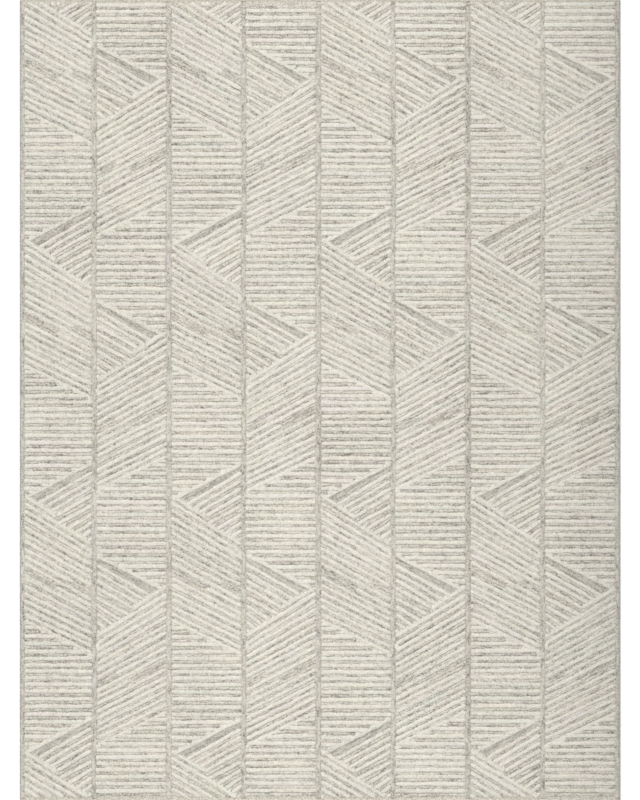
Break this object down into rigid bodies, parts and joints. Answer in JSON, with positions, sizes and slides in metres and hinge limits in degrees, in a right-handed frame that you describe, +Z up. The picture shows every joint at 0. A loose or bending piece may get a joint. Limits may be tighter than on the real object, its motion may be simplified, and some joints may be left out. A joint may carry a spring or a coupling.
{
  "type": "area rug",
  "caption": "Rectangular hand-tufted wool rug with raised ivory rows on a grey ground, in mirrored columns of slanted and level lines, on a glued cotton backing.",
  "frame": {"origin": "middle of the underside, on the floor", "axes": "+Z up out of the pile, +Y along the rug's long way, +X to the right of it"},
  "size_m": [2.7432, 3.6576, 0.012],
  "materials": {
    "wool_ivory": "cut wool pile, ivory, matt",
    "wool_grey": "looped wool pile, heathered warm grey, matt",
    "edge_yarn": "overcast wool yarn, heathered warm grey",
    "canvas": "unbleached cotton canvas, plain weave",
    "latex": "dried natural latex in cotton scrim, dull",
    "backing_cloth": "unbleached cotton cloth, plain weave",
    "cotton_tape": "herringbone cotton tape, stitched",
    "label_cloth": "blank woven satin label"
  },
  "bodies": {
    "root": {"secondary_backing": "backing_cloth", "hem_tape_left": "cotton_tape", "hem_tape_right": "cotton_tape", "hem_tape_near": "cotton_tape", "hem_tape_far": "cotton_tape", "care_label": "label_cloth", "latex_coat": "latex", "primary_backing": "canvas", "band_1_1": "wool_grey", "band_1_2": "wool_grey", "band_1_3": "wool_grey", "band_2_1": "wool_grey", "band_2_2": "wool_grey", "band_2_3": "wool_grey", "band_3_1": "wool_grey", "band_3_2": "wool_grey", "band_3_3": "wool_grey", "band_4_1": "wool_grey", "band_4_2": "wool_grey", "band_4_3": "wool_grey", "band_5_1": "wool_grey", "band_5_2": "wool_grey", "band_5_3": "wool_grey", "band_6_1": "wool_grey", "band_6_2": "wool_grey", "band_6_3": "wool_grey", "band_7_1": "wool_grey", "band_7_2": "wool_grey", "band_7_3": "wool_grey", "band_8_1": "wool_grey", "band_8_2": "wool_grey", "band_8_3": "wool_grey", "divider_line_1": "wool_grey", "divider_line_2": "wool_grey", "divider_line_3": "wool_grey", "divider_line_4": "wool_grey", "divider_line_5": "wool_grey", "divider_line_6": "wool_grey", "divider_line_7": "wool_grey", "edge_wrap_far": "edge_yarn", "edge_wrap_left": "edge_yarn", "edge_wrap_near": "edge_yarn", "edge_wrap_right": "edge_yarn", "pile_column_1": "wool_ivory", "pile_column_2": "wool_ivory", "pile_column_3": "wool_ivory", "pile_column_4": "wool_ivory", "pile_column_5": "wool_ivory", "pile_column_6": "wool_ivory", "pile_column_7": "wool_ivory", "pile_column_8": "wool_ivory", "side_line_left": "wool_grey", "side_line_right": "wool_grey"}
  },
  "joints": []
}
